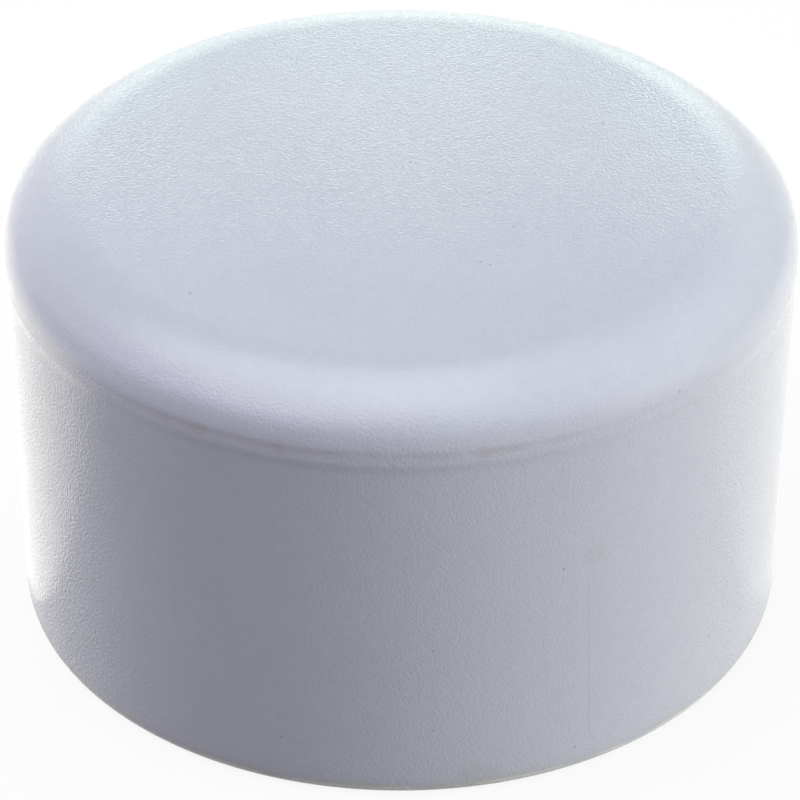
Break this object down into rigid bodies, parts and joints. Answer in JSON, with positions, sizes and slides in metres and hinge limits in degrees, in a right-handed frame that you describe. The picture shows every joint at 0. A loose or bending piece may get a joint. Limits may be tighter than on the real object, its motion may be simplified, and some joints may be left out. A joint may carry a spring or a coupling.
{
  "type": "pipe end cap",
  "caption": "Round moulded plastic end cap with a flat closed end and a soft shoulder, welded over the end of a pipe by its inner socket.",
  "frame": {"origin": "centre of the mouth, in the plane of the rim that the cap stands on", "axes": "+Z along the axis, from the mouth to the closed end; X and Y are free, because the cap is round"},
  "size_m": [0.043, 0.043, 0.0254],
  "materials": {
    "cap_plastic": "fine moulded grain outside, smooth in the socket"
  },
  "bodies": {
    "root": {"end_cap": "cap_plastic"}
  },
  "joints": []
}
